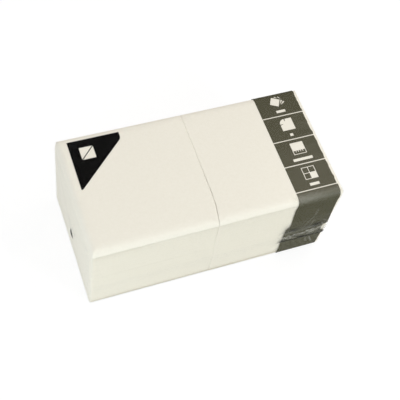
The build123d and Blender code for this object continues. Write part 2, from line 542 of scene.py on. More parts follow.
@dataclass
class FilmForm:
    """The outer skin of the pack: a box with soft edges, tight but not quite smooth."""

    length: float
    width: float
    height: float
    top_radius: float = 7.0
    bottom_radius: float = 4.0
    side_radius: float = 2.6
    end_radius: float = 3.0
    lift: float = 0.10

    slant: float = 0.2
    tension: Ripple = Ripple(11, 26.0, 60.0, math.pi / 2.0, 0.7)
    tension_height: float = 0.05
    pucker: Ripple = Ripple(12, 5.0, 13.0, math.pi / 2.0, 0.5)
    pucker_height: float = 0.30
    pucker_reach: float = 9.0
    crimp: Ripple = Ripple(13, 4.0, 11.0, 0.0, 0.6)
    crumple: Ripple = Ripple(14, 2.5, 8.0, 0.35, 0.7)
    seam_bottom: float = 27.0
    seam_top: float = 40.0
    seam_reach: float = 9.0
    seam_pull: float = 0.20
    banded_from: float = 66.0
    parting_place: float = -0.5
    parting_drift: float = 3.2
    parting_dip: float = 0.16
    parting_reach: float = 1.6
    # Creases get stress whitening and a painted highlight; the bent front edge gets a painted
    # highlight.
    crease_whitening_and_highlight: float = 1.4
    bent_highlight: float = 0.55
    crumpled_haze: float = 0.17
    pucker_haze: float = 0.10
    creases: tuple[Crease, ...] = (
        Crease((98.6, 84.0), (98.8, 69.5)),
        Crease((98.8, 69.5), (95.9, 63.9)),
        Crease((95.9, 63.9), (91.2, 50.5)),
        Crease((101.6, 61.0), (96.6, 51.2), 0.26),
        Crease((99.0, 26.0), (103.8, 14.0), 0.26),
        Crease((103.6, 26.5), (109.4, 11.5), 0.30),
        Crease((112.0, 56.0), (117.5, 48.5), 0.34),
        Crease((104.5, 47.5), (113.5, 50.5), 0.26),
        Crease((70.0, 44.5), (82.0, 47.5), 0.18),
    )

    def section(self, run_steps: tuple[int, ...], arc_steps: int) -> tuple[np.ndarray, np.ndarray]:
        """The skin's section across X: four straight runs joined by four corner arcs.

        Args:
            run_steps: points on the straight runs of back, top, front and bottom.
            arc_steps: points on each corner arc.

        Returns:
            Points (y, z) and outward normals (y, z), counter-clockwise seen from +X.
        """
        half = self.width / 2.0
        corners = [
            (half, 0.0, self.bottom_radius, -math.pi / 2.0),
            (half, self.height, self.top_radius, 0.0),
            (-half, self.height, self.top_radius, math.pi / 2.0),
            (-half, 0.0, self.bottom_radius, math.pi),
        ]
        arcs, turns = [], []
        for y, z, radius, start in corners:
            middle = np.array([y - math.copysign(radius, y), radius if z == 0.0 else z - radius])
            turn = start + np.linspace(0.0, math.pi / 2.0, arc_steps)
            normals = np.stack([np.cos(turn), np.sin(turn)], axis=-1)
            arcs.append(middle + radius * normals)
            turns.append(normals)
        points, normals = [], []
        for corner, steps in enumerate(run_steps):
            after = (corner + 1) % 4
            share = np.linspace(0.0, 1.0, steps + 2)[1:-1, None]
            points += [arcs[corner], arcs[corner][-1] * (1 - share) + arcs[after][0] * share]
            normals += [turns[corner], np.repeat(turns[corner][-1:], steps, axis=0)]
        return np.concatenate(points), np.concatenate(normals)

    def stations(self, plain_steps: int = 90, banded_steps: int = 68) -> np.ndarray:
        """Places of the sections, evenly spaced and closer over the printed band.

        Args:
            plain_steps: sections up to the band.
            banded_steps: sections over it.

        Returns:
            Shares of half the length, from -1 to 1.
        """
        start = 2.0 * self.banded_from / self.length
        plain = np.linspace(-1.0, start, plain_steps, endpoint=False)
        return np.concatenate([plain, np.linspace(start, 1.0, banded_steps)])

    def skin(
        self,
        run_steps: tuple[int, ...] = (52, 64, 104, 40),
        arc_steps: int = 9,
        end_steps: int = 7,
    ) -> np.ndarray:
        """Carries the section along X and rounds it into the two ends.

        At angle t of an end's rounding the section is set in by r (1 - cos t) and lies
        r (1 - sin t) short of the end, where r goes from the side radius to the end radius
        with the square of the section's upright normal.

        Args:
            run_steps: points on the section's straight runs of back, top, front and bottom.
            arc_steps: points on each corner arc of the section.
            end_steps: sections in each rounded end.

        Returns:
            Ring points of shape (rings, points of a ring, 3), wrinkles included.
        """
        section, normal = self.section(run_steps, arc_steps)
        radius = self.side_radius * normal[:, 0] ** 2 + self.end_radius * normal[:, 1] ** 2
        along = self.stations()[:, None]
        angle = np.linspace(0.0, math.pi / 2.0, end_steps + 1)[1:, None]
        reach = self.length / 2.0 - radius
        body_x = along * reach
        end_x = reach + radius * np.sin(angle)
        inset = radius * (1.0 - np.cos(angle))
        x = np.concatenate([-end_x[::-1], body_x, end_x])
        inset = np.concatenate([inset[::-1], 0.0 * body_x, inset])
        level = np.concatenate([np.cos(angle)[::-1], np.ones_like(along), np.cos(angle)])
        facing = np.concatenate([-np.sin(angle)[::-1], 0.0 * along, np.sin(angle)])
        y = section[:, 0] - inset * normal[:, 0]
        z = section[:, 1] - inset * normal[:, 1]
        points = np.stack([x, y, z], axis=-1)
        outward = np.stack(
            [facing + 0.0 * y, level * normal[:, 0], level * normal[:, 1]], axis=-1
        )
        rise = self.lift * smooth_step(0.0, 2.0, points[..., 2]) + self.wrinkle(points)
        return points + outward * rise[..., None]

    def front_at(self, x: np.ndarray) -> np.ndarray:
        """The plain front: level, then a quarter circle into the end.

        Args:
            x: places along the pack.

        Returns:
            Y at each place.
        """
        radius = self.side_radius
        past = np.clip(np.abs(x) - self.length / 2.0 + radius, 0.0, 0.98 * radius)
        return -self.width / 2.0 + radius - np.sqrt(radius**2 - past**2)

    def parting_line(self, y: np.ndarray, z: np.ndarray) -> np.ndarray:
        """X of the line where the two stacks meet, which drifts left at the front's top."""
        front = smooth_step(-34.0, -62.0, y)
        return self.parting_place - self.parting_drift * front * smooth_step(30.0, 90.0, z)

    def front_share(self, y: np.ndarray, start: float, full: float) -> np.ndarray:
        """Rises from 0 to 1 between two distances from the front's face."""
        return smooth_step(-self.width / 2.0 + start, -self.width / 2.0 + full, y)

    def banded_share(self, x: np.ndarray, run: float) -> np.ndarray:
        """Rises from 0 to 1 along a run from where the print begins."""
        return smooth_step(self.banded_from, self.banded_from + run, x)

    def end_share(self, x: np.ndarray) -> np.ndarray:
        """Falls from 1 at either end with e to the minus distance over the puckers' reach."""
        return np.exp(-(self.length / 2.0 - np.abs(x)) / self.pucker_reach)

    def wrinkle(self, points: np.ndarray) -> np.ndarray:
        """Height of the skin over its plain form at each of its points.

        It adds long waves of tension, puckers that fade away from both ends, crimps along
        the lap seam, single creases on the front and the dip where the film spans the gap
        between the stacks. All of it fades near the table.

        Args:
            points: places on the plain form.

        Returns:
            Heights along the outward normal.
        """
        x, y, z = np.moveaxis(points, -1, 0)
        around = np.where(z > self.height - self.top_radius, y, z + y * self.slant)
        puckered = np.clip(self.pucker.at(x, around), 0.0, 1.0) * self.end_share(x)
        on_front = self.front_share(y, 6.0, 1.0)
        near_seam = bell(z, self.seam_top, self.seam_reach) * on_front
        banded = 0.3 + 0.7 * self.banded_share(x, 12.0)
        creased = sum(crease.height_at(x, z) for crease in self.creases) * on_front
        dip = bell(x, self.parting_line(y, z), self.parting_reach) * smooth_step(42.0, -10.0, y)
        on_top = smooth_step(self.height - 9.0, self.height - 1.0, z)
        return (
            self.tension_height * self.tension.at(x, around)
            + self.pucker_height * puckered
            + self.seam_pull * (0.5 + self.crimp.at(x, z)) * near_seam * banded
            + creased
            - self.parting_dip * dip * (0.4 + 0.6 * on_top)
        ) * smooth_step(0.0, 9.0, z)

    def whitening_and_highlight(self, points: np.ndarray) -> np.ndarray:
        """How far stress has whitened the skin, at each of its points.

        It is most along the creases, as stress whitening and a painted highlight, less where
        the print bends over the front's upper edge, a painted highlight, and where it is
        crumpled below the seam, and least on the ends' puckers.

        Args:
            points: places on the skin.

        Returns:
            Shares of the film's most haze, which may pass 1.
        """
        x, y, z = np.moveaxis(points, -1, 0)
        on_front = self.front_share(y, 3.0, 0.5)
        creased = sum(crease.height_at(x, z) / crease.reach for crease in self.creases) * on_front
        puckered = self.end_share(x) * np.clip(self.pucker.at(x, z + y * self.slant), 0.0, 1.0)
        to_left = 0.45 + 0.55 * smooth_step(112.0, 78.0, x)
        on_edge = smooth_step(self.height - 8.0, self.height - 5.0, z)
        # Painted highlight where the print bends over the front's upper edge.
        bent = bell(y, 3.8 - self.width / 2.0, 3.4) * on_edge * to_left
        below = smooth_step(27.0, 23.0, z) * on_front * (0.5 + 0.5 * self.crumple.at(x, z))
        printed = self.bent_highlight * bent + self.crumpled_haze * below
        worn = self.crease_whitening_and_highlight * creased + self.banded_share(x, 7.0) * printed
        return worn + self.pucker_haze * puckered

    def normals(self, points: np.ndarray) -> np.ndarray:
        """Outward normals of the section: from its core, the nearest place inside, outwards.

        Args:
            points: places on the skin, away from the ends.

        Returns:
            The normal at each place.
        """
        y, z = points[..., 1], points[..., 2]
        radius = np.where(z > self.height / 2.0, self.top_radius, self.bottom_radius)
        core_y = np.clip(y, radius - self.width / 2.0, self.width / 2.0 - radius)
        core_z = np.clip(z, self.bottom_radius, self.height - self.top_radius)
        way = np.stack([0.0 * y, y - core_y, z - core_z], axis=-1)
        return way / np.maximum(np.linalg.norm(way, axis=-1, keepdims=True), 1e-6)


@dataclass
class LapSeam:
    """The lap seam along the front, and the web's printed inner edge just above it."""

    form: FilmForm
    layer: float
    plain_steps: int = 150
    banded_steps: int = 220
    rows: int = 34
    weld_line: Ripple = Ripple(31, 9.0, 30.0, 0.0, 0.0)
    crest_line: Ripple = Ripple(32, 5.0, 17.0, 0.0, 0.0)
    lip_line: Ripple = Ripple(38, 3.0, 9.0, 0.0, 0.0)
    ridge_line: Ripple = Ripple(42, 2.5, 8.0, 0.0, 0.0)
    crimps: Ripple = Ripple(33, 2.2, 7.5, 0.0, 0.9)
    patches: Ripple = Ripple(35, 6.0, 16.0, 0.0, 0.3)
    creases: Ripple = Ripple(36, 3.5, 9.0, math.pi / 2.0, 1.3)
    blotches: Ripple = Ripple(37, 5.0, 12.0, math.pi / 2.0, 2.0)
    crest_drop: float = 1.0
    climbs: tuple[tuple[float, float, float], ...] = ((90.0, 97.0, 2.3), (104.0, 112.0, 1.8))
    lip: float = 1.5
    curl: float = 0.5
    crimp_height: float = 0.24
    # Highlight lines that haze paints along the seam, and a shadow line that shade paints along
    # its weld.
    crest_highlight: Streak = Streak(0.0, 0.7, 1.8)
    ridge_highlight: Streak = Streak(2.2, 0.55, 1.1)
    lower_highlight: Streak = Streak(4.6, 0.6, 0.8)
    weld_shadow: Streak = Streak(-0.7, 1.1, 0.9)

    overlap_rows: int = 60
    overlap_columns: int = 150
    overlap_top: float = 67.0
    overlap_crimps: Ripple = Ripple(34, 3.0, 9.0, 0.6, 1.6)
    overlap_blotches: Ripple = Ripple(39, 5.0, 14.0, 0.8, 2.6)
    overlap_creases: Ripple = Ripple(40, 3.0, 8.0, 0.9, 1.0)
    doubled: tuple[Spot, ...] = (Spot(81.0, 48.6, 8.0, 3.6, 0.75), Spot(106.0, 48.0, 9.5, 4.4))
    smear: Spot = Spot(72.0, 55.0, 2.8, 8.0, 0.22)

    def laid(self, x: np.ndarray, z: np.ndarray, rise: np.ndarray) -> np.ndarray:
        """Lays a sheet on the front, over the skin and its wrinkles.

        Args:
            x: places along the pack.
            z: heights on the front.
            rise: how far the sheet stands off the skin.

        Returns:
            The sheet's points.
        """
        form = self.form
        flat = np.stack([x, 0.0 * x - form.width / 2.0, z], axis=-1)
        y = form.front_at(x) - form.lift * smooth_step(0.0, 2.0, z) - form.wrinkle(flat) - rise
        return np.stack([x, y, z], axis=-1)

    def crest(self, x: np.ndarray) -> np.ndarray:
        """Height of the seam's loose edge, which climbs in steps towards the right end."""
        climb = sum(rise * smooth_step(start, end, x) for start, end, rise in self.climbs)
        return self.form.seam_top - self.crest_drop + climb + 0.7 * self.crest_line.at(x, 0.0 * x)

    def strip(self, maker: MeshMaker) -> bpy.types.Object:
        """The seam itself, welded below and loose at its upper edge.

        Its height over the skin is one layer, a curl that grows with the sixth power of
        the share of its width, and crimps that run across it. Where it is printed, haze
        paints highlights along its crest, its ridges and its fine creases, and shade paints
        a shadow along its weld and marks the print below it.

        Args:
            maker: writes the mesh.

        Returns:
            The seam.
        """
        form = self.form
        reach = form.length / 2.0 - 0.4
        plain = np.linspace(-reach, form.banded_from, self.plain_steps, endpoint=False)
        along = np.concatenate([plain, np.linspace(form.banded_from, reach, self.banded_steps)])
        share, x = grid(self.rows, along)
        bottom = form.seam_bottom - 0.6 + 0.4 * self.weld_line.at(x, 0.0 * x)
        crest = self.crest(x)
        top = crest + self.lip + 0.5 * self.lip_line.at(x, 0.0 * x)
        z = bottom + (top - bottom) * share
        banded = form.banded_share(x, 7.0)
        crimped = self.crimp_height * (0.6 + self.crimps.at(x, z)) * (0.25 + 0.75 * share**2)
        loose = self.curl * share**6 + crimped
        seam = maker.sheet("lap_seam", self.laid(x, z, self.layer + (0.2 + 0.8 * banded) * loose))
        # The haze paints highlights: along the crest, the ridge, a lower line and the fine
        # creases.
        patchy = np.clip(0.5 + 0.7 * self.patches.at(x, z), 0.0, 1.0)
        crease = bell(self.creases.at(0.4 * x, z), 0.0, 0.2) * bell(share, 0.55, 0.45)
        blotch = np.clip(self.blotches.at(0.6 * x, z), 0.0, 1.0) * bell(share, 0.4, 0.4)
        ridge = self.ridge_highlight.at(z, crest + 0.9 * self.ridge_line.at(x, 0.0 * x))
        edges = self.crest_highlight.at(z, crest) * patchy
        edges = edges + self.lower_highlight.at(z, crest) * (1.0 - patchy)
        haze = 0.06 + edges + crease + ridge
        maker.paint(seam, HAZE_AND_HIGHLIGHT, (0.04 + 0.96 * banded) * haze)
        # Shade paints a shadow along the weld, and marks the print below the seam in blotches.
        maker.paint(seam, SHADE, banded * (self.weld_shadow.at(z, bottom) + 0.85 * blotch))
        return seam

    def overlap(self, maker: MeshMaker) -> bpy.types.Object:
        """The web's printed inner edge above the seam, a second layer that shows darker.

        Args:
            maker: writes the mesh.

        Returns:
            The overlap.
        """
        form = self.form
        along = np.linspace(form.banded_from, form.length / 2.0 - 3.0, self.overlap_columns)
        share, x = grid(self.overlap_rows, along)
        low = self.crest(x) + 1.2
        z = low + (self.overlap_top - low) * share
        rise = 0.5 * self.layer + 0.04 * (1.0 + self.overlap_crimps.at(x, z))
        overlap = maker.sheet("seam_overlap", self.laid(x, z, rise))
        blotch = 0.4 + 0.6 * (0.5 + 0.5 * self.overlap_blotches.at(x, z))
        doubled = sum(spot.at(x, z) for spot in self.doubled)
        smear = self.smear.at(x, z)
        crease = bell(self.overlap_creases.at(x, z), 0.0, 0.12) * bell(z, 46.0, 7.0)
        maker.paint(overlap, SHADE, 0.85 * doubled * blotch + smear)
        # Haze paints pale highlight streaks along its creases, and adds haze in a band above the
        # seam and over the smear.
        maker.paint(overlap, HAZE_AND_HIGHLIGHT, 0.50 * crease + 0.16 * bell(z, 45.0, 4.0) + 0.5 * smear)
        return overlap


@dataclass
class EndFold:
    """The envelope fold that shuts one end: two side tucks under two broad flaps."""

    form: FilmForm
    end: End
    layer: float
    flap_lap: float = 6.0
    flap_tip_width: float = 6.0
    flap_steps: tuple[int, int] = (40, 48)
    wave_height: float = 0.14
    rim_curl: float = 0.16
    tuck_tip: float = 9.0
    tuck_steps: tuple[int, int] = (24, 40)

    def build(self, maker: MeshMaker) -> list[bpy.types.Object]:
        """Makes the lower and the upper flap, then the front and the back tuck."""
        flaps = [self.flap(maker, flap) for flap in Flap]
        return flaps + [self.tuck(maker, side) for side in (-1, 1)]

    def lay(
        self, maker: MeshMaker, name: str, points: np.ndarray, haze: np.ndarray, turned: bool
    ) -> bpy.types.Object:
        """Makes one sheet of the fold.

        Args:
            maker: writes the mesh.
            name: the sheet's name, without its end.
            points: the sheet's points.
            haze: the light that it scatters at each of them.
            turned: whether its columns are turned about, so that it faces outwards.

        Returns:
            The sheet.
        """
        order = slice(None, None, -1) if turned else slice(None)
        made = maker.sheet(f"{self.end.name.lower()}_{name}", points[:, order])
        maker.paint(made, HAZE_AND_HIGHLIGHT, haze[:, order])
        return made

    def flap(self, maker: MeshMaker, flap: Flap) -> bpy.types.Object:
        """A broad flap, from its root edge to its narrow tip.

        Half its width falls evenly from half the pack's width at the root to half the
        tip's width. It stands off the end by its layers, and its rim curls away a little.

        Args:
            maker: writes the mesh.
            flap: the upper or the lower flap.

        Returns:
            The flap.
        """
        form, upper = self.form, flap is Flap.UPPER
        root, radius = (form.height, form.top_radius) if upper else (0.0, form.bottom_radius)
        tip = form.height / 2.0 + flap.value * self.flap_lap
        down, across = grid(*self.flap_steps)
        start = radius / abs(tip - root)
        share = start + (1.0 - start) * down
        half = form.width / 2.0 * (1.0 - share) + self.flap_tip_width / 2.0 * share
        y = across * np.minimum(half, form.width / 2.0 - form.side_radius)
        z = root + (tip - root) * share
        seed = 41 + 2 * (self.end is End.RIGHT) + upper
        wave = Ripple(seed, 8.0, 26.0, 0.0, 1.6).at(y, z)
        crinkle = Ripple(seed + 10, 3.0, 8.0, 0.0, 2.4).at(y, z)
        rim = np.maximum(smooth_step(0.8, 1.0, np.abs(across)), smooth_step(0.9, 1.0, share))
        layers = (3 if upper else 2) * self.layer
        rise = layers + self.wave_height * (0.8 + wave) + rim * self.rim_curl * (1.0 + crinkle)
        rise = rise * smooth_step(0.0, 0.18, share - start + 0.02)
        x = self.end.value * (form.length / 2.0 + form.lift + rise)
        haze = 0.06 + 0.22 * rim * (0.6 + 0.4 * crinkle)
        turned = (self.end is End.LEFT) == upper
        name = f"{flap.name.lower()}_flap"
        return self.lay(maker, name, np.stack([x, y, z], axis=-1), haze, turned)

    def tuck(self, maker: MeshMaker, side: int) -> bpy.types.Object:
        """A side tuck: a triangle from a side edge to its tip, under the flaps.

        Args:
            maker: writes the mesh.
            side: -1 for the front and 1 for the back.

        Returns:
            The tuck.
        """
        form = self.form
        reach = form.width / 2.0 - form.side_radius
        share, across = grid(*self.tuck_steps)
        low, high = form.bottom_radius, form.height - form.top_radius
        middle = (low + high) / 2.0
        y = side * (reach + (self.tuck_tip - reach) * share)
        z = middle + across * (high - middle) * (1.0 - 0.985 * share)
        wave = Ripple(61 + side + 3 * self.end.value, 7.0, 22.0, 0.0, 1.6).at(y, z)
        rise = self.layer + 0.05 * (1.0 + wave)
        x = self.end.value * (form.length / 2.0 + form.lift + rise)
        name = f"{'front' if side < 0 else 'back'}_tuck"
        turned = side * self.end.value < 0
        return self.lay(maker, name, np.stack([x, y, z], axis=-1), 0.05 + 0.0 * y, turned)


@dataclass
class Pleat:
    """The small pleat where the left end's flaps meet: a thin fin along a bent line."""

    form: FilmForm
    layer: float
    route_y: tuple[float, ...] = (-0.6, -3.0, -6.2, -9.8)
    route_z: tuple[float, ...] = (47.9, 45.0, 42.3, 38.6)
    width: float = 0.9
    height: float = 1.2
    steps: tuple[int, int] = (34, 11)

    def build(self, maker: MeshMaker) -> bpy.types.Object:
        """Makes the fin.

        Its height off the end is the pleat's times the sine along its route and the
        cosine across it. Its upper side has painted shade, a painted shadow of the fold.

        Args:
            maker: writes the mesh.

        Returns:
            The pleat.
        """
        form = self.form
        share, across = grid(*self.steps)
        bends = np.arange(len(self.route_y))
        places = share * bends[-1]
        bulge = np.sin(math.pi * share)
        arch = bulge * np.cos(math.pi / 2.0 * across)
        x = -(form.length / 2.0 + form.lift + 5 * self.layer + self.height * arch)
        y = np.interp(places, bends, self.route_y) + 0.6 * self.width * bulge * across
        z = np.interp(places, bends, self.route_z) - 0.8 * self.width * bulge * across
        pleat = maker.sheet("left_pleat", np.stack([x, y, z], axis=-1))
        maker.paint(pleat, HAZE_AND_HIGHLIGHT, 0.3 * bell(across, 0.6, 0.3) * arch)
        # Painted shadow: shade darkens what shows through the fin's upper side.
        maker.paint(pleat, SHADE, 1.3 * smooth_step(0.4, -0.1, across) * bulge)
        return pleat


@dataclass
class FilmWrap:
    """The clear web, with its lap seam and the envelope fold at each end."""

    form: FilmForm
    finish: ClearFilm = ClearFilm()
    end_rings: int = 14
    layer: float = 0.16

    def build(self, maker: MeshMaker) -> list[bpy.types.Object]:
        """Makes the web, its seam and its folds.

        Args:
            maker: writes the meshes.

        Returns:
            All pieces of film.
        """
        seam = LapSeam(self.form, self.layer)
        made = [self.web(maker), seam.strip(maker), seam.overlap(maker)]
        for end in End:
            made += EndFold(self.form, end, self.layer).build(maker)
        made.append(Pleat(self.form, self.layer).build(maker))
        film = self.finish.material()
        for piece in made:
            piece.data.materials.append(film)
            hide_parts("film_wrap")
        return made

    def web(self, maker: MeshMaker) -> bpy.types.Object:
        """Closes the skin at both ends by rings that shrink to a point.

        Args:
            maker: writes the mesh.

        Returns:
            The web.
        """
        rings = self.form.skin()
        middle = self.form.height / 2.0
        tip = self.form.length / 2.0 + self.form.lift
        left_tip, right_tip = np.array([-tip, 0.0, middle]), np.array([tip, 0.0, middle])
        share = np.linspace(1.0, 0.0, self.end_rings + 1)[1:-1, None, None]
        left_face = left_tip + (rings[0] - left_tip) * share[::-1]
        right_face = right_tip + (rings[-1] - right_tip) * share
        rings = np.concatenate([left_face, rings, right_face])
        web = maker.solids("film_web", rings[None], left_tip[None], right_tip[None])
        maker.paint(web, HAZE_AND_HIGHLIGHT, self.form.whitening_and_highlight(rings))
        return web


@dataclass
class NapkinStack:
    """A stack of folded napkins, whose outer borders the film draws in."""

    node: str
    outer: End
    form: FilmForm
    finish: TissuePaper
    seed: int
    count: int = 100
    gap: float = 0.05
    film_gap: float = 0.18
    settling: float = 0.5
    corner_radius: float = 1.6
    inner_corner_radius: float = 0.4
    film_inset: float = 0.3
    drawn_top: int = 18
    drawn_bottom: int = 10
    inner_radius: float = 0.35
    shuffle: float = 0.1
    most_shuffle: float = 0.28
    pressed_share: float = 0.2
    edge_wave: float = 0.1
    edge_reach: float = 1.0
    scallop: float = 1.5
    leaf_notch: float = 0.3
    fold_nose: float = 0.07
    lean_reach: float = 24.0
    closing: float = 0.44
    opening: float = 0.13
    closing_reach: float = 6.0
    opening_run: tuple[float, float] = (50.0, -50.0)
    opening_rise: tuple[float, float] = (70.0, 98.0)
    shut_radius_share: float = 0.3
    end_draw: float = 0.9
    end_draw_reach: float = 5.0
    rim_insets: tuple[float, ...] = (30.0, 9.0, 5.6, 3.2, 1.4, 0.35, 0.0)
    rim_lifts: tuple[float, ...] = (1.0, 1.0, 1.0, 1.0, 1.0, 0.94, 0.5)
    side_steps: int = 11
    arc_steps: int = 3

    def outline(self) -> tuple[np.ndarray, np.ndarray]:
        """The napkin's plan as shares of its core and unit directions from it.

        Points crowd towards the corners: a side's share is the sine of an evenly spaced
        angle, and a corner's direction turns through a quarter circle.

        Returns:
            Core shares and directions, each of shape (points, 2), counter-clockwise.
        """
        side = np.sin(np.linspace(-1.0, 1.0, self.side_steps + 2)[1:-1] * math.pi / 2.0)
        turn = np.linspace(0.0, math.pi / 2.0, self.arc_steps)
        core, way = [], []
        for quarter in range(4):
            turned = quarter * math.pi / 2.0
            across, along = math.cos(turned), math.sin(turned)
            spin = np.array([[across, along], [-along, across]])
            arc = np.stack([np.cos(turn), np.sin(turn)], axis=-1) @ spin
            corner = np.repeat(np.array([[1.0, 1.0]]) @ spin, self.arc_steps, axis=0)
            run = np.stack([-side, np.ones_like(side)], axis=-1) @ spin
            core += [corner, run]
            way += [arc, np.repeat(arc[-1:], self.side_steps, axis=0)]
        return np.concatenate(core), np.concatenate(way)

    def shoulder(self, distance: np.ndarray, radius: float | np.ndarray) -> np.ndarray:
        """Drop of a round shoulder: r minus the root of r squared less (r - distance) squared."""
        inside = np.clip(radius - distance, 0.0, radius * 0.965)
        return radius - np.sqrt(radius**2 - inside**2)

    def plans(self, half: np.ndarray, insets: np.ndarray, lifts: np.ndarray) -> np.ndarray:
        """Lays out every ring of every napkin in plan, round the stack's middle.

        A ring is the outline set in from the napkin's edge. The ring at half height is
        notched at the open edges, and those beside it are set in a little at the folds.
        Each napkin is shifted at random, less where it meets the other stack, and its
        edge ripples.

        Args:
            half: half the napkin's length and width.
            insets: how far each ring is set in.
            lifts: each ring's height, from 1 at the top face to -1 at the bottom face.

        Returns:
            Places (x, y) of shape (napkins, rings, points, 2).
        """
        core, way = self.outline()
        draw = np.random.default_rng(self.seed)
        notched = np.clip(way @ np.array([1.0, -1.0]), 0.0, 1.0)
        notch = np.where(lifts == 0.0, self.leaf_notch, 0.0)[:, None] * notched
        nose = np.where(np.abs(lifts) == 0.5, self.fold_nose, 0.0)[:, None] * (1.0 - notched)
        outer_side = core[:, 0] * self.outer.value > 0.0
        rounding = np.where(outer_side, self.corner_radius, self.inner_corner_radius)
        core_inset = np.maximum(insets[:, None], rounding)[..., None]
        reach = np.maximum(rounding - insets[:, None], 0.0) - notch - nose
        plan = core * (half - core_inset) + way * reach[..., None]
        shift = draw.normal(0.0, self.shuffle, (self.count, 1, 1, 2))
        shift = shift.clip(-self.most_shuffle, self.most_shuffle)
        pressed = np.where(outer_side, 1.0, self.pressed_share)
        plan = plan + shift * np.stack([pressed, np.ones_like(pressed)], axis=-1)
        around = 3.0 * np.arctan2(core[:, 1], core[:, 0])
        level = 0.35 * np.arange(self.count)[:, None, None]
        ripple = Ripple(self.seed + 1, 1.6, 5.0, 0.0, 1.5)
        wave = ripple.at(around + 0.0 * level, level + 0.0 * around)
        at_edge = (insets < self.edge_reach)[:, None]
        return plan + way * (self.edge_wave * wave * at_edge)[..., None]

    def build(self, maker: MeshMaker) -> bpy.types.Object:
        """Makes the whole stack as one mesh of closed napkins.

        A level of the stack is a number of napkins. Its height is the level times the
        pitch, less the top shoulder's drop and plus the bottom shoulder's rise, which
        fade with the square of the level's depth. Each napkin lies between two levels.
        The parting leans with the film's, and opens towards the front's upper edge.

        Args:
            maker: writes the mesh.

        Returns:
            The stack.
        """
        low, high = (np.array(corner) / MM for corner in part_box(self.node))
        half = (high[:2] - low[:2]) / 2.0
        middle = (high[:2] + low[:2]) / 2.0
        insets = np.array([*self.rim_insets, 0.0, *self.rim_insets[::-1]])
        lifts = np.array([*self.rim_lifts, 0.0, *(-lift for lift in self.rim_lifts[::-1])])
        plan = self.plans(half, insets, lifts)
        x, y = plan[..., 0], plan[..., 1]
        to_sides = half[1] - np.abs(y)
        to_end = half[0] - self.outer.value * x
        to_parting = half[0] + self.outer.value * x
        levels = np.arange(self.count)[:, None, None] + (lifts[:, None] + 1.0) / 2.0
        base = low[2] - self.settling + self.film_gap
        pitch = (self.form.height - self.film_gap - base) / self.count
        z = base + levels * pitch
        top_share = np.clip((levels - self.count) / self.drawn_top + 1.0, 0.0, 1.0) ** 2
        bottom_share = np.clip(1.0 - levels / self.drawn_bottom, 0.0, 1.0) ** 2
        drawn = self.scallop * (self.outer is End.LEFT)
        waves = 0.5 + 0.5 * Ripple(self.seed + 2, 9.0, 22.0, 0.0, 0.0).at(y, 0.0 * y)
        end_radius = (self.form.end_radius - self.film_inset) * (1.0 + drawn * waves)
        open_share = smooth_step(*self.opening_run, y) * smooth_step(*self.opening_rise, z)
        opened = self.shut_radius_share + (1.0 - self.shut_radius_share) * open_share
        inner_radius = self.inner_radius * opened
        for radius, share, sign in (
            (self.form.top_radius - self.film_inset, top_share, -1.0),
            (self.form.bottom_radius - self.film_inset, bottom_share, 1.0),
        ):
            drop = np.maximum(self.shoulder(to_sides, radius), self.shoulder(to_end, end_radius))
            drop = np.maximum(drop, self.shoulder(to_parting, inner_radius))
            z = z + sign * share * drop
        z = z - np.sign(lifts)[:, None] * self.gap / 2.0
        x = x + middle[0]
        lean = self.form.parting_line(y, z) - self.form.parting_place
        closing = self.closing - self.opening * open_share
        closing = closing * np.exp(-to_parting / self.closing_reach)
        pull = self.end_draw * drawn * waves * top_share * np.exp(-to_end / self.end_draw_reach)
        x = x + lean * np.exp(-np.abs(x) / self.lean_reach) - self.outer.value * (closing + pull)
        points = np.stack([x, y + middle[1], z], axis=-1)
        first, last = points[:, 0].mean(axis=1), points[:, -1].mean(axis=1)
        name = self.node.replace("napkin_stack", "napkins")
        stack = maker.solids(name, points[:, ::-1], last, first)
        stack.data.materials.append(self.finish.material())
        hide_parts(self.node)
        return stack


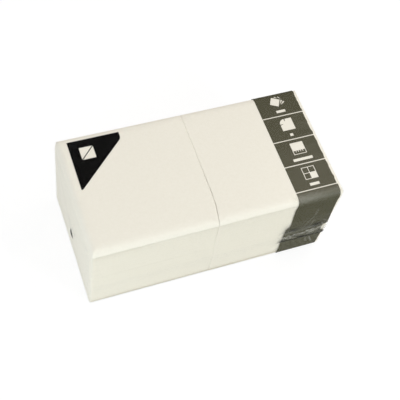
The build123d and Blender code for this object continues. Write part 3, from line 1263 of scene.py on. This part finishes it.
@dataclass
class PrintField:
    """A field of ink, cut as its solid is and laid on the film's skin."""

    node: str
    name: str
    form: FilmForm
    finish: FilmInk
    longest_edge: float = 2.0
    rounds: int = 7
    merge_reach: float = 0.002
    sharp_angle: float = math.radians(40.0)
    draw_reach: float = 14.0
    draws: tuple[tuple[float, float, float], ...] = (
        (0, -0.9, -0.4),
        (20, -1.3, 0),
        (25, -1.5, 0.4),
        (26.5, -1.5, 2),
        (31, -1.6, 2.2),
        (33, -1.6, -2.6),
        (45, -2.0, -3),
        (46.5, -2.0, 1.7),
        (53, -1.6, 1.4),
        (56, 1.1, 1.2),
        (60, 1.3, 0.9),
        (70, 0.6, 0.4),
        (80, -0.2, -0.3),
        (90, -0.9, -0.7),
        (98, -0.4, -0.4),
        (105, 0, 0),
    )

    def drawn(self, points: np.ndarray) -> np.ndarray:
        """Draws the print's left and right borders about on the front, as the seam pulls it.

        Each draw gives a height and how far the left and the right border move there. It
        is read off between those heights, and fades over its reach from its border.

        Args:
            points: places on the flat print.

        Returns:
            The moved places, wrapped round the front's side edge.
        """
        form = self.form
        x, y, z = points.T
        on_front = (y < 0.0) & (x.max() > form.banded_from)
        levels, at_left, at_right = np.array(self.draws).T
        left = np.interp(z, levels, at_left) * smooth_step(self.draw_reach, 0.0, x - x.min())
        right = np.interp(z, levels, at_right) * smooth_step(self.draw_reach, 0.0, x.max() - x)
        x = x + (left + right) * on_front
        y = y + (form.front_at(x) + form.width / 2.0) * on_front
        return np.stack([x, y, z], axis=-1)

    def build(self) -> bpy.types.Object:
        """Copies the solid's faces, divides long edges and follows the film's wrinkles.

        Returns:
            The printed field.
        """
        source = bpy.data.objects[self.node]
        mesh = source.data.copy()
        mesh.name = self.name
        work = bmesh.new()
        work.from_mesh(mesh)
        bmesh.ops.transform(work, matrix=source.matrix_world, verts=work.verts)
        bmesh.ops.remove_doubles(work, verts=work.verts, dist=self.merge_reach * MM)
        longest = self.longest_edge * MM
        for _ in range(self.rounds):
            too_long = [edge for edge in work.edges if edge.calc_length() > longest]
            bmesh.ops.subdivide_edges(work, edges=too_long, cuts=1)
            bmesh.ops.triangulate(work, faces=[face for face in work.faces if len(face.verts) > 3])
        work.to_mesh(mesh)
        work.free()
        points = np.empty(len(mesh.vertices) * 3)
        mesh.vertices.foreach_get("co", points)
        points = self.drawn(points.reshape(-1, 3) / MM)
        points = points + self.form.normals(points) * self.form.wrinkle(points)[:, None]
        mesh.vertices.foreach_set("co", (points * MM).ravel())
        mesh.update()
        mesh.shade_smooth()
        mesh.set_sharp_from_angle(angle=self.sharp_angle)
        mesh.materials.clear()
        mesh.materials.append(self.finish.material())
        made = bpy.data.objects.new(self.name, mesh)
        bpy.context.collection.objects.link(made)
        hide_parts(self.node)
        log.info("%s: %d faces", self.name, len(mesh.polygons))
        return made


@dataclass(frozen=True)
class Lamp:
    """A rectangular softbox, whose first side lies level, and the place that it looks at."""

    name: str
    place: tuple[float, float, float]
    sides: tuple[float, float]
    power: float
    colour: Colour
    aim: tuple[float, float, float] = (0.0, 0.0, 50.0)

    def hang(self) -> None:
        """Adds the lamp to the scene."""
        light = bpy.data.lights.new(self.name, "AREA")
        light.shape = "RECTANGLE"
        light.size, light.size_y = self.sides[0] * MM, self.sides[1] * MM
        light.energy = self.power
        light.color = self.colour
        lamp = bpy.data.objects.new(self.name, light)
        lamp.location = Vector(self.place) * MM
        sight = Vector(self.aim) - Vector(self.place)
        lamp.rotation_euler = sight.to_track_quat("-Z", "Y").to_euler()
        lamp.visible_camera = False
        bpy.context.collection.objects.link(lamp)


@dataclass
class Stage:
    """White floor, soft light and the camera at the photograph's angle."""

    floor_side: float = 6000.0
    floor_depth: float = 0.4
    floor_colour: Colour = (0.94, 0.94, 0.94)
    floor_glow: float = 1.06
    glow_share: float = 0.8
    camera_place: tuple[float, float, float] = (-214.47, -351.35, 743.58)
    camera_aim: tuple[float, float, float] = (4.30, -6.52, 50.0)
    camera_roll: float = 14.8
    camera_lens: float = 75.17
    camera_sensor: float = 36.0
    camera_reach: float = 20.0
    sky_level: float = 0.585
    lamps: tuple[Lamp, ...] = (
        Lamp("front_strip", (470.0, -820.0, 560.0), (110.0, 900.0), 2.75, (0.90, 1.0, 0.98)),
        Lamp("left_softbox", (-530.0, -320.0, 180.0), (300.0, 300.0), 0.93, (0.85, 0.97, 1.0)),
        Lamp("upper_left_softbox", (-250.0, 40.0, 600.0), (220.0, 220.0), 0.17, (1.0, 0.98, 0.92)),
        Lamp(
            "top_strip",
            (640.0, 90.0, 1200.0),
            (1060.0, 190.0),
            4.5,
            (1.0, 0.93, 0.83),
            aim=(0.0, 90.0, 50.0),
        ),
    )

    def build(self, maker: MeshMaker) -> None:
        """Makes floor, sky, lamps and camera.

        Args:
            maker: writes the floor's mesh.
        """
        self.floor(maker)
        self.sky()
        for lamp in self.lamps:
            lamp.hang()
        self.camera()

    def floor(self, maker: MeshMaker) -> None:
        """A white floor that shows as white but keeps a soft shadow.

        Args:
            maker: writes its mesh.
        """
        reach = np.array([-self.floor_side / 2.0, self.floor_side / 2.0])
        x, y = np.meshgrid(reach, reach)
        ground = maker.sheet("floor", np.stack([x, y, 0.0 * x - self.floor_depth], axis=-1))
        board = NodeBoard(bpy.data.materials.new("white_floor"))
        paper = board.add("BsdfDiffuse", Color=(*self.floor_colour, 1.0))
        glow = board.add("Emission", Color=(*WHITE, 1.0), Strength=self.floor_glow)
        rays = board.add("LightPath").outputs
        seen = rays["Is Camera Ray"]
        for ray in ("Is Glossy Ray", "Is Transmission Ray"):
            seen = board.math("MAXIMUM", seen, rays[ray])
        board.finish(board.mix(board.math("MULTIPLY", seen, self.glow_share), paper, glow))
        ground.data.materials.append(board.owner)

    def sky(self) -> None:
        """An even sky: white where it is seen or mirrored, softer where it lights."""
        world = bpy.data.worlds.new("studio")
        bpy.context.scene.world = world
        board = NodeBoard(world)
        sky = board.add("Background", Color=(*WHITE, 1.0), Strength=self.sky_level)
        seen = board.add("Background", Color=(*WHITE, 1.0))
        rays = board.add("LightPath").outputs
        for ray in ("Is Glossy Ray", "Is Transmission Ray", "Is Camera Ray"):
            sky = board.mix(rays[ray], sky, seen)
        board.finish(sky)

    def camera(self) -> None:
        """The camera, aimed at a point in the pack and rolled about its line of sight."""
        lens = bpy.data.cameras.new("camera")
        lens.lens = self.camera_lens
        lens.sensor_width = self.camera_sensor
        lens.clip_end = self.camera_reach
        camera = bpy.data.objects.new("camera", lens)
        place, aim = Vector(self.camera_place), Vector(self.camera_aim)
        look = (aim - place).to_track_quat("-Z", "Y").to_matrix().to_4x4()
        roll = Matrix.Rotation(math.radians(self.camera_roll), 4, "Z")
        camera.matrix_world = Matrix.Translation(place * MM) @ look @ roll
        bpy.context.collection.objects.link(camera)
        bpy.context.scene.camera = camera


def main() -> None:
    """Builds the pack from the inside out, then the stage around it."""
    logging.basicConfig(level=logging.INFO)
    bpy.context.scene.view_settings.view_transform = "Standard"
    maker = MeshMaker()
    low, high = (np.array(corner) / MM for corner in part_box("film_wrap"))
    form = FilmForm(high[0] - low[0] - 1.0, 2.0 * high[1], high[2])
    tissue = TissuePaper()
    for node, outer, seed in (
        ("napkin_stack_left", End.LEFT, 21),
        ("napkin_stack_right", End.RIGHT, 22),
    ):
        stack = NapkinStack(node, outer, form, tissue, seed).build(maker)
        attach(stack, "root")
    band = FilmInk("olive_band_ink", (0.077, 0.072, 0.045), (0.092, 0.087, 0.057))
    corner = FilmInk("black_corner_ink", (0.0012, 0.0010, 0.0010), (0.0020, 0.0017, 0.0016))
    for node, name, slot, ink in (
        ("printed_band", "band_print", "band_ink", band),
        ("printed_corner", "corner_print", "corner_ink", corner),
    ):
        printed = PrintField(node, name, form, ink).build()
        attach(printed, "root")
    for piece in FilmWrap(form).build(maker):
        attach(piece, "root")
    Stage().build(maker)


if __name__ == "__main__":
    main()
